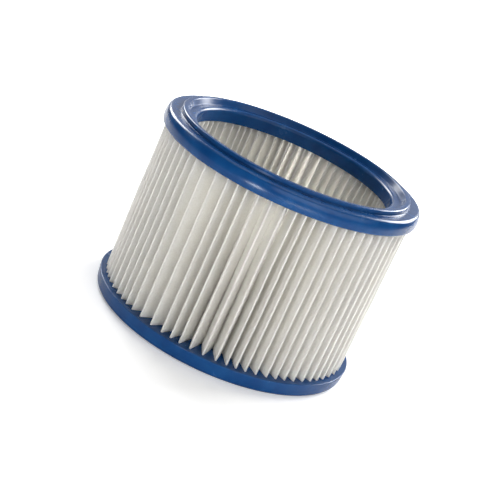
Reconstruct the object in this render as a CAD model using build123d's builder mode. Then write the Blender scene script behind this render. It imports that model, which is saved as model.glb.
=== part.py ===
# Pleated cartridge filter of a wet and dry vacuum cleaner, in millimetres.
# It stands on its bottom ring: the origin is the middle of the underside and +Z is the filter's axis.
# A folded sheet of fleece is closed into a ring, and a ring is cast round each of its ends.
import os
from math import asin, cos, degrees, radians, sin

from build123d import *

os.makedirs("parts", exist_ok=True)

# Whole filter: the radius is that of the top ring at its widest
filter_height = 136.4
filter_radius = 93.0

# Pleat pack: one sheet, folded at the tips on the outside and at the roots on the inside
pleat_count = 72
tip_inset = 4.0
pleat_depth = 17.0
media_thickness = 0.7
potting_depth = 4.0
first_fold_angle = -91.9

# The folds are set by hand into the mould, so their pitch sways round the ring.
# Each wave has a number of turns round the ring, a sway in degrees and a phase in degrees.
pitch_waves = [(4, 1.1, 76.5), (11, 0.46, -46.0), (14, 0.55, 22.0)]

# Both rings cover the roots of the pleats, which sets the bore
root_cover = 0.7

# Bottom ring: a little wider than the top ring, and its wall draws in towards the underside
bottom_ring_overhang = 0.5
bottom_ring_height = 10.5
bottom_ring_draft = 1.0
bottom_edge_radius = 3.6
bottom_rim_chamfer = 0.5
bottom_bore_chamfer = 0.8

# Top ring: its wall is a shallow arc, and its drops are measured down from the top of the sealing lip
top_ring_height = 13.9
wall_arc_radius = 12.0
widest_height = 4.1
wall_foot_radius = 2.0
shoulder_drop = 3.2
shoulder_edge_radius = 3.0
ledge_drop = 4.0
ledge_edge_radius = 2.5
lip_inset = 9.8
lip_width = 3.5
lip_outer_slope = 0.4
lip_inner_slope = 2.2
lip_edge_radius = 1.2

# Worked out from the sizes above
pleat_tip_radius = filter_radius - tip_inset
pleat_root_radius = pleat_tip_radius - pleat_depth
bore_radius = pleat_root_radius - root_cover
bottom_ring_radius = filter_radius + bottom_ring_overhang
top_ring_underside = filter_height - top_ring_height
media_bottom = bottom_ring_height - potting_depth
media_top = top_ring_underside + potting_depth
widest_z = top_ring_underside + widest_height
shoulder_z = filter_height - shoulder_drop
ledge_z = filter_height - ledge_drop
lip_outer_radius = filter_radius - lip_inset
lip_inner_radius = lip_outer_radius - lip_width


def fold_point(fold):
    """Middle of the sheet at a fold. Even folds are tips, odd ones are the roots between them."""
    turn = fold / (2 * pleat_count)
    sway = sum(size * sin(radians(360 * waves * turn + phase)) for waves, size, phase in pitch_waves)
    angle = radians(first_fold_angle + 360 * turn + sway)
    radius = pleat_root_radius if fold % 2 else pleat_tip_radius
    return Vector(radius * cos(angle), radius * sin(angle))


folds = [fold_point(fold) for fold in range(2 * pleat_count)]


def outward_normal(start, end):
    """Direction out of the pleat pack, square to the wall from one fold to the next."""
    along = (end - start).normalized()
    return Vector(along.Y, -along.X)


def sheet_face(distance):
    """Outline of one face of the folded sheet, at a distance outside its middle.

    The face has a narrow flat where it goes round the outside of a fold, and a sharp corner inside one.
    """
    corners = []
    for index, fold in enumerate(folds):
        first = outward_normal(folds[index - 1], fold)
        second = outward_normal(fold, folds[(index + 1) % len(folds)])
        is_tip = index % 2 == 0
        if is_tip == (distance > 0):
            corners += [fold + first * distance, fold + second * distance]
        else:
            corners += [fold + (first + second) * (distance / (1 + first.dot(second)))]
    return corners


# Pleated media: the band between the two faces of the folded sheet
with BuildPart() as pleated_media:
    with BuildSketch(Plane.XY.offset(media_bottom)):
        with BuildLine():
            Polyline(*sheet_face(media_thickness / 2), close=True)
        make_face()
        with BuildLine():
            Polyline(*sheet_face(-media_thickness / 2), close=True)
        make_face(mode=Mode.SUBTRACT)
    extrude(amount=media_top - media_bottom)

# Bottom ring: a plain ring with a rounded lower edge, cast round the lower ends of the pleats
with BuildPart() as bottom_ring:
    with BuildSketch(Plane.XZ):
        with BuildLine():
            Polyline(
                (bore_radius, bottom_ring_height),
                (bore_radius, bottom_bore_chamfer),
                (bore_radius + bottom_bore_chamfer, 0),
                (bottom_ring_radius - bottom_ring_draft, 0),
                (bottom_ring_radius, bottom_ring_height - bottom_rim_chamfer),
                (bottom_ring_radius - bottom_rim_chamfer, bottom_ring_height),
                close=True,
            )
        make_face()
        lower_corner = vertices().group_by(Axis.Y)[0].sort_by(Axis.X)[-1]
        fillet(lower_corner, radius=bottom_edge_radius)
    revolve(axis=Axis.Z)
    add(pleated_media.part, mode=Mode.SUBTRACT)

# Top ring: a rounded wall, a flat shoulder, a raised sealing lip and a lower ledge round the bore
with BuildPart() as top_ring:
    with BuildSketch(Plane.XZ):
        with BuildLine():
            wall_foot = degrees(asin((widest_z - top_ring_underside) / wall_arc_radius))
            wall_head = degrees(asin((shoulder_z - widest_z) / wall_arc_radius))
            wall = CenterArc(
                (filter_radius - wall_arc_radius, widest_z),
                wall_arc_radius,
                -wall_foot,
                wall_foot + wall_head,
            )
            Polyline(
                wall @ 1,
                (lip_outer_radius + lip_outer_slope, shoulder_z),
                (lip_outer_radius, filter_height),
                (lip_inner_radius, filter_height),
                (lip_inner_radius - lip_inner_slope, ledge_z),
                (bore_radius, ledge_z),
                (bore_radius, top_ring_underside),
                wall @ 0,
            )
        make_face()
        shoulder_corner = vertices().sort_by(Axis.X)[-2:].sort_by(Axis.Y)[-1]
        fillet(shoulder_corner, radius=shoulder_edge_radius)
        foot_corner = vertices().group_by(Axis.Y)[0].sort_by(Axis.X)[-1]
        fillet(foot_corner, radius=wall_foot_radius)
        ledge_corner = vertices().sort_by(Axis.X)[:2].sort_by(Axis.Y)[-1]
        fillet(ledge_corner, radius=ledge_edge_radius)
        lip_corners = vertices().group_by(Axis.Y)[-1]
        fillet(lip_corners, radius=lip_edge_radius)
    revolve(axis=Axis.Z)
    add(pleated_media.part, mode=Mode.SUBTRACT)

for piece, name in [(pleated_media, "pleated_media"), (bottom_ring, "bottom_ring"), (top_ring, "top_ring")]:
    piece.part.label = name
    export_step(piece.part, f"parts/{name}.step")
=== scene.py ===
from math import asin, atan2, cos, pi, radians, sin, sqrt, tan

import bmesh
import bpy
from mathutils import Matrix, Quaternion, Vector, noise


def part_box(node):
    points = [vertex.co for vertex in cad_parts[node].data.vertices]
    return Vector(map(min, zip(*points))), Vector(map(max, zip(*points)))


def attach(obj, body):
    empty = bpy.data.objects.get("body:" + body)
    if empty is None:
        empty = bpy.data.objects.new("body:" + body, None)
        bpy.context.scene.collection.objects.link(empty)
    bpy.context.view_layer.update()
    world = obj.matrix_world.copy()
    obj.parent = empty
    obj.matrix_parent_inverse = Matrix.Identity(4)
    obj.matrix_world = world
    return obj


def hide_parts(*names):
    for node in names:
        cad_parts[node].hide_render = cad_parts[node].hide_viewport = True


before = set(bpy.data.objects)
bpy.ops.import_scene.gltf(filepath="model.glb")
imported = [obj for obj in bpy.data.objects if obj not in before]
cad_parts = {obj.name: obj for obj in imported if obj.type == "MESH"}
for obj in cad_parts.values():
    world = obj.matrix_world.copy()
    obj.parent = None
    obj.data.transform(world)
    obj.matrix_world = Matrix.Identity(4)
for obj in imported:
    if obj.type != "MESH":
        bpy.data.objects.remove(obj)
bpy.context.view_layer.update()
mm = 0.001

# Rings, as in the solids
top_low, top_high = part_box("top_ring")
bottom_low, bottom_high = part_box("bottom_ring")
filter_height = top_high.z
top_ring_underside = top_low.z
top_ring_radius = 93.0 * mm
bottom_ring_radius = 93.5 * mm
bottom_ring_height = bottom_high.z
bottom_ring_draft = 1.0 * mm
bottom_edge_radius = 3.6 * mm
bottom_rim_round = 0.5 * mm
bore_radius = 71.3 * mm
bottom_bore_round = 0.8 * mm
wall_arc_radius = 12.0 * mm
widest_z = top_ring_underside + 4.1 * mm
wall_foot_radius = 2.0 * mm
shoulder_z = filter_height - 3.2 * mm
shoulder_edge_radius = 3.0 * mm
ledge_z = filter_height - 4.0 * mm
ledge_edge_radius = 2.5 * mm
lip_inner_radius = 79.7 * mm
lip_outer_radius = 83.2 * mm
lip_outer_slope = 0.4 * mm
lip_inner_slope = 2.2 * mm
lip_edge_radius = 1.2 * mm
ring_steps = 288

# Folded fleece, as in the solids
media_low, media_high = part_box("pleated_media")
media_height = media_high.z - media_low.z
pleat_count = 72
pleat_tip_radius = 89.0 * mm
pleat_root_radius = 72.0 * mm
media_thickness = 0.7 * mm
first_fold_angle = -91.9
pitch_waves = [(4, 1.1, 76.5), (11, 0.46, -46.0), (14, 0.55, 22.0)]

# What the solids leave out: small rounds in the rings' creases and bore edges, the round of each fold,
# and the small give of the sheet between the rings
crease_radius = 0.4 * mm
bore_edge_radius = 0.2 * mm
fold_radius = 0.25 * mm
fold_steps = 6
flank_cuts = 3
fleece_rows = 16
give_size = 0.35 * mm
give_spacing = 14 * mm
give_length = 60 * mm
give_seed = 5

# Camera, fitted to the ring outlines in the photo
photo_pixels = 480
focal_pixels = 1300
camera_distance = 896.0 * mm
camera_elevation = radians(17.905)
camera_roll = radians(24.572)
camera_target = Vector((0, 0, 65 * mm))
target_right_pixels = 16.35
target_down_pixels = 2.84

# Studio: the floor shows the shadow near the filter and is plain white further off.
# To the glossy rings, a pale sheet stands behind the filter and the rest of the room is nearly dark.
floor_half_width = 8.0
shadow_reach = 250 * mm
white_reach = 700 * mm
near_glow = 0.3
room_strength = 0.05
sheet_strength = 0.7


def linear(hex_colour):
    """Linear colour of an sRGB hex value."""
    shares = [int(hex_colour[place:place + 2], 16) / 255 for place in (1, 3, 5)]
    return [share / 12.92 if share < 0.04045 else ((share + 0.055) / 1.055) ** 2.4 for share in shares] + [1]


def add_node(tree, kind, inputs=None, **settings):
    """Adds a shader node. Each input, by name or number, gets a value or a link to another node's socket."""
    added = tree.nodes.new(kind)
    for name, value in settings.items():
        setattr(added, name, value)
    for name, value in (inputs or {}).items():
        if isinstance(value, bpy.types.NodeSocket):
            tree.links.new(value, added.inputs[name])
        else:
            added.inputs[name].default_value = value
    return added


def new_material(name):
    material = bpy.data.materials.new(name)
    material.use_nodes = True
    material.node_tree.nodes.clear()
    return material


def fleece_material():
    """Needled polyester fleece: matte and off-white, and light shines through it, so its valleys stay pale.

    Felt grain and faint clouds in its density keep it from looking flat. The fibres are finer than a pixel
    of the photo, so the grain is drawn at about a millimetre.
    """
    material = new_material("needled_polyester_fleece")
    tree = material.node_tree
    place = add_node(tree, "ShaderNodeTexCoord").outputs["Object"]
    grain = add_node(tree, "ShaderNodeTexNoise",
                     {"Vector": place, "Scale": 1 / (1.1 * mm), "Detail": 3.0, "Roughness": 0.7})
    cloud = add_node(tree, "ShaderNodeTexNoise", {"Vector": place, "Scale": 1 / (9 * mm), "Detail": 2.0})
    both = add_node(tree, "ShaderNodeMix",
                    {"Factor": 0.35, "A": grain.outputs["Fac"], "B": cloud.outputs["Fac"]})
    colour = add_node(tree, "ShaderNodeValToRGB", {"Fac": both.outputs["Result"]})
    colour.color_ramp.elements[0].position = 0.3
    colour.color_ramp.elements[0].color = linear("#e6e3da")
    colour.color_ramp.elements[1].position = 0.7
    colour.color_ramp.elements[1].color = linear("#fdfcf8")
    bump = add_node(tree, "ShaderNodeBump",
                    {"Height": grain.outputs["Fac"], "Strength": 0.5, "Distance": 0.2 * mm})
    surface = add_node(tree, "ShaderNodeBsdfPrincipled", {
        "Base Color": colour.outputs["Color"], "Normal": bump.outputs["Normal"], "Roughness": 0.95,
        "IOR": 1.45, "Specular IOR Level": 0.2, "Sheen Weight": 0.15, "Sheen Roughness": 0.6,
        "Subsurface Weight": 1.0, "Subsurface Radius": (1.0, 0.98, 0.95), "Subsurface Scale": 2.8 * mm})
    through = add_node(tree, "ShaderNodeBsdfTranslucent", {"Color": linear("#fefdfa")})
    felt = add_node(tree, "ShaderNodeMixShader",
                    {"Fac": 0.42, 1: surface.outputs["BSDF"], 2: through.outputs["BSDF"]})
    add_node(tree, "ShaderNodeOutputMaterial", {"Surface": felt.outputs["Shader"]})
    return material


def polyurethane_material():
    """Cast blue polyurethane: glossy but not polished, so lamps show in it as soft spots.

    A faint cloudiness and shallow ripples from the mould break up its colour and its reflections.
    """
    material = new_material("cast_blue_polyurethane")
    tree = material.node_tree
    place = add_node(tree, "ShaderNodeTexCoord").outputs["Object"]
    cloud = add_node(tree, "ShaderNodeTexNoise", {"Vector": place, "Scale": 1 / (12 * mm), "Detail": 4.0})
    colour = add_node(tree, "ShaderNodeValToRGB", {"Fac": cloud.outputs["Fac"]})
    colour.color_ramp.elements[0].position = 0.3
    colour.color_ramp.elements[0].color = linear("#0a3a6e")
    colour.color_ramp.elements[1].position = 0.7
    colour.color_ramp.elements[1].color = linear("#10467c")
    gloss = add_node(tree, "ShaderNodeMapRange", {
        "Value": cloud.outputs["Fac"], "From Min": 0.3, "From Max": 0.7, "To Min": 0.2, "To Max": 0.28})
    ripple = add_node(tree, "ShaderNodeTexNoise", {"Vector": place, "Scale": 1 / (5 * mm), "Detail": 1.0})
    bump = add_node(tree, "ShaderNodeBump",
                    {"Height": ripple.outputs["Fac"], "Strength": 0.15, "Distance": 0.2 * mm})
    surface = add_node(tree, "ShaderNodeBsdfPrincipled", {
        "Base Color": colour.outputs["Color"], "Normal": bump.outputs["Normal"],
        "Roughness": gloss.outputs["Result"], "IOR": 1.5, "Specular IOR Level": 0.25})
    add_node(tree, "ShaderNodeOutputMaterial", {"Surface": surface.outputs["BSDF"]})
    return material


def finish_piece(name, shape, material, node):
    """Makes a piece of a finished shape, which stands for a CAD node."""
    bmesh.ops.recalc_face_normals(shape, faces=shape.faces)
    for face in shape.faces:
        face.smooth = True
    mesh = bpy.data.meshes.new(name)
    shape.to_mesh(mesh)
    shape.free()
    mesh.materials.append(material)
    piece = bpy.data.objects.new(name, mesh)
    bpy.context.scene.collection.objects.link(piece)
    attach(piece, "root")
    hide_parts(node)
    return piece


def cast_ring(name, corners, material, node):
    """Ring turned from a closed profile. Each corner has a radius, a height and the radius of its round."""
    shape = bmesh.new()
    places = [Vector((radius, 0, height)) for radius, height, _ in corners]
    points = [shape.verts.new(place) for place in places]
    for start, end in zip(points, points[1:] + points[:1]):
        shape.edges.new((start, end))
    for index, (_, _, corner_radius) in enumerate(corners):
        before = places[index] - places[index - 1]
        after = places[(index + 1) % len(places)] - places[index]
        if corner_radius:
            bmesh.ops.bevel(shape, geom=[points[index]], offset=corner_radius * tan(before.angle(after) / 2),
                            offset_type="OFFSET", affect="VERTICES", segments=6, profile=0.5, material=-1)
    bmesh.ops.spin(shape, geom=shape.verts[:] + shape.edges[:], cent=(0, 0, 0), axis=(0, 0, 1),
                   angle=2 * pi, steps=ring_steps, use_merge=True)
    piece = finish_piece(name, shape, material, node)
    even = piece.modifiers.new("even_shading", "WEIGHTED_NORMAL")
    even.weight = 80
    return piece


def wall_arc():
    """Corners along the rounded wall of the top ring, from its foot up to the shoulder."""
    foot = -asin((widest_z - top_ring_underside) / wall_arc_radius)
    head = asin((shoulder_z - widest_z) / wall_arc_radius)
    steps = 8
    corners = []
    for step in range(steps + 1):
        angle = foot + (head - foot) * step / steps
        corner_radius = {0: wall_foot_radius, steps: shoulder_edge_radius}.get(step, 0)
        corners.append((top_ring_radius - wall_arc_radius * (1 - cos(angle)),
                        widest_z + wall_arc_radius * sin(angle), corner_radius))
    return corners


def make_rings():
    material = polyurethane_material()
    cast_ring("cast_top_ring", wall_arc() + [
        (lip_outer_radius + lip_outer_slope, shoulder_z, crease_radius),
        (lip_outer_radius, filter_height, lip_edge_radius),
        (lip_inner_radius, filter_height, lip_edge_radius),
        (lip_inner_radius - lip_inner_slope, ledge_z, crease_radius),
        (bore_radius, ledge_z, ledge_edge_radius),
        (bore_radius, top_ring_underside, bore_edge_radius),
    ], material, "top_ring")
    cast_ring("cast_bottom_ring", [
        (bottom_ring_radius - bottom_ring_draft, 0, bottom_edge_radius),
        (bottom_ring_radius, bottom_ring_height, bottom_rim_round),
        (bore_radius, bottom_ring_height, bore_edge_radius),
        (bore_radius, 0, bottom_bore_round),
    ], material, "bottom_ring")


def fold_centre(fold):
    """Middle of the round of a fold. Even folds are tips, odd ones are the roots between them."""
    turn = fold / (2 * pleat_count)
    sway = sum(size * sin(radians(360 * waves * turn + phase)) for waves, size, phase in pitch_waves)
    angle = radians(first_fold_angle + 360 * turn + sway)
    radius = pleat_root_radius + fold_radius if fold % 2 else pleat_tip_radius - fold_radius
    return Vector((radius * cos(angle), radius * sin(angle)))


def folded_line():
    """Middle line of the folded sheet, once round: an arc at each fold, joined by straight flanks."""
    centres = [fold_centre(fold) for fold in range(2 * pleat_count)]
    leaving = []
    for fold, centre in enumerate(centres):
        way = centres[(fold + 1) % len(centres)] - centre
        along = way.normalized()
        across = Vector((along.y, -along.x)) * (-1 if fold % 2 else 1)
        lean = 2 * fold_radius / way.length
        leaving.append(along * lean + across * sqrt(1 - lean ** 2))
    line = []
    for fold, centre in enumerate(centres):
        start = atan2(-leaving[fold - 1].y, -leaving[fold - 1].x)
        end = atan2(leaving[fold].y, leaving[fold].x)
        sweep = -((start - end) % (2 * pi)) if fold % 2 else (end - start) % (2 * pi)
        for step in range(fold_steps + 1):
            angle = start + sweep * step / fold_steps
            line.append(centre + Vector((cos(angle), sin(angle))) * fold_radius)
    return line


def make_fleece():
    shape = bmesh.new()
    points = [shape.verts.new((point.x, point.y, media_low.z)) for point in folded_line()]
    row = [shape.edges.new(pair) for pair in zip(points, points[1:] + points[:1])]
    flanks = [edge for edge in row if edge.calc_length() > 4 * fold_radius]
    bmesh.ops.subdivide_edges(shape, edges=flanks, cuts=flank_cuts)
    row = shape.edges[:]
    for _ in range(fleece_rows):
        grown = bmesh.ops.extrude_edge_only(shape, edges=row)["geom"]
        row = [part for part in grown if isinstance(part, bmesh.types.BMEdge) and part.is_boundary]
        lifted = [part for part in grown if isinstance(part, bmesh.types.BMVert)]
        bmesh.ops.translate(shape, verts=lifted, vec=(0, 0, media_height / fleece_rows))
    noise.seed_set(give_seed)
    for vert in shape.verts:
        free = sin(pi * (vert.co.z - media_low.z) / media_height)
        spot = Vector((vert.co.x / give_spacing, vert.co.y / give_spacing, vert.co.z / give_length))
        push = noise.noise_vector(spot) * give_size * free
        vert.co += Vector((push.x, push.y, 0))
    fleece = finish_piece("folded_fleece", shape, fleece_material(), "pleated_media")
    wall = fleece.modifiers.new("sheet_thickness", "SOLIDIFY")
    wall.thickness = media_thickness
    wall.offset = 0


def make_floor():
    """Pale studio floor: white to the eye, but it keeps the shadow under the filter."""
    material = new_material("pale_studio_floor")
    tree = material.node_tree
    path = add_node(tree, "ShaderNodeLightPath")
    paint = add_node(tree, "ShaderNodeBsdfDiffuse", {"Color": linear("#f0f0f0")})
    place = add_node(tree, "ShaderNodeTexCoord").outputs["Object"]
    away = add_node(tree, "ShaderNodeVectorMath", {"Vector": place}, operation="LENGTH")
    fade = add_node(tree, "ShaderNodeMapRange", {
        "Value": away.outputs["Value"], "From Min": shadow_reach, "From Max": white_reach,
        "To Min": near_glow, "To Max": 1.0})
    glow = add_node(tree, "ShaderNodeEmission",
                    {"Color": linear("#ffffff"), "Strength": fade.outputs["Result"]})
    lit = add_node(tree, "ShaderNodeAddShader", {0: paint.outputs["BSDF"], 1: glow.outputs["Emission"]})
    seen = add_node(tree, "ShaderNodeMixShader", {
        "Fac": path.outputs["Is Camera Ray"], 1: paint.outputs["BSDF"], 2: lit.outputs["Shader"]})
    add_node(tree, "ShaderNodeOutputMaterial", {"Surface": seen.outputs["Shader"]})
    shape = bmesh.new()
    bmesh.ops.create_grid(shape, x_segments=1, y_segments=1, size=floor_half_width)
    mesh = bpy.data.meshes.new("studio_floor")
    shape.to_mesh(mesh)
    shape.free()
    mesh.materials.append(material)
    floor = bpy.data.objects.new("studio_floor", mesh)
    bpy.context.scene.collection.objects.link(floor)


def make_world():
    """White to the camera. Only glossy reflections see the pale sheet behind the filter."""
    world = bpy.data.worlds.new("studio")
    world.use_nodes = True
    tree = world.node_tree
    tree.nodes.clear()
    path = add_node(tree, "ShaderNodeLightPath")
    room = add_node(tree, "ShaderNodeBackground", {"Color": linear("#ffffff"), "Strength": room_strength})
    white = add_node(tree, "ShaderNodeBackground", {"Color": linear("#ffffff"), "Strength": 1.0})
    direction = add_node(tree, "ShaderNodeTexCoord").outputs["Generated"]
    way = add_node(tree, "ShaderNodeSeparateXYZ", {"Vector": direction})
    sheet = add_node(tree, "ShaderNodeMapRange", {
        "Value": way.outputs["Y"], "From Min": 0.6, "From Max": 0.9, "To Max": sheet_strength})
    mirrored = add_node(tree, "ShaderNodeMath",
                        {0: sheet.outputs["Result"], 1: path.outputs["Is Glossy Ray"]}, operation="MULTIPLY")
    either = add_node(tree, "ShaderNodeMath",
                      {0: mirrored.outputs["Value"], 1: path.outputs["Is Camera Ray"]}, operation="MAXIMUM")
    seen = add_node(tree, "ShaderNodeMixShader", {
        "Fac": either.outputs["Value"], 1: room.outputs["Background"], 2: white.outputs["Background"]})
    add_node(tree, "ShaderNodeOutputWorld", {"Surface": seen.outputs["Shader"]})
    bpy.context.scene.world = world


def softbox(name, azimuth, elevation, distance, width, height, power):
    """Area lamp turned to the filter: angles in degrees, lengths in metres, power in watts.

    Azimuth is measured from the camera's side towards the right.
    """
    lamp = bpy.data.lights.new(name, "AREA")
    lamp.shape = "RECTANGLE"
    lamp.size = width
    lamp.size_y = height
    lamp.energy = power
    side = Vector((sin(radians(azimuth)) * cos(radians(elevation)),
                   -cos(radians(azimuth)) * cos(radians(elevation)), sin(radians(elevation))))
    box = bpy.data.objects.new(name, lamp)
    box.location = camera_target + side * distance
    box.rotation_mode = "QUATERNION"
    box.rotation_quaternion = side.to_track_quat("Z", "Y")
    bpy.context.scene.collection.objects.link(box)


def make_lights():
    """Small low key and soft fill in front, and softboxes behind that shine through the fleece.

    The lamps behind stand to the sides, so that the flat top of the ring doesn't mirror them.
    """
    softbox("key_light", -18, -2.5, 0.8, 0.075, 0.035, 2.0)
    softbox("low_front_light", 20, -4, 0.6, 0.3, 0.03, 0.5)
    softbox("front_light", 15, 30, 1.4, 0.9, 0.6, 4.2)
    softbox("left_light", -94, 22, 1.4, 0.2, 0.3, 0.6)
    softbox("right_light", 55, 28, 1.6, 1.5, 0.9, 8.5)
    softbox("back_right_light", 143, 28, 1.4, 0.7, 0.6, 24)
    softbox("back_left_light", -143, 28, 1.4, 0.6, 0.6, 16)
    softbox("top_light", 180, 80, 1.4, 1.2, 0.6, 6)


def make_camera():
    """Long lens a little above the filter, turned about its own axis as the photo is."""
    sight = Vector((0, cos(camera_elevation), -sin(camera_elevation)))
    roll = Quaternion((0, 0, 1), camera_roll)
    upright = sight.to_track_quat("-Z", "Y")
    toward_target = Vector((target_right_pixels, -target_down_pixels, -focal_pixels))
    lens = bpy.data.cameras.new("photo_camera")
    lens.sensor_width = 36
    lens.lens = lens.sensor_width * focal_pixels / photo_pixels
    camera = bpy.data.objects.new("photo_camera", lens)
    camera.location = camera_target - sight * camera_distance
    camera.rotation_mode = "QUATERNION"
    camera.rotation_quaternion = upright @ roll @ toward_target.rotation_difference(Vector((0, 0, -1)))
    bpy.context.scene.collection.objects.link(camera)
    bpy.context.scene.camera = camera


make_camera()
make_rings()
make_fleece()
make_floor()
make_world()
make_lights()
bpy.context.scene.view_settings.view_transform = "Standard"
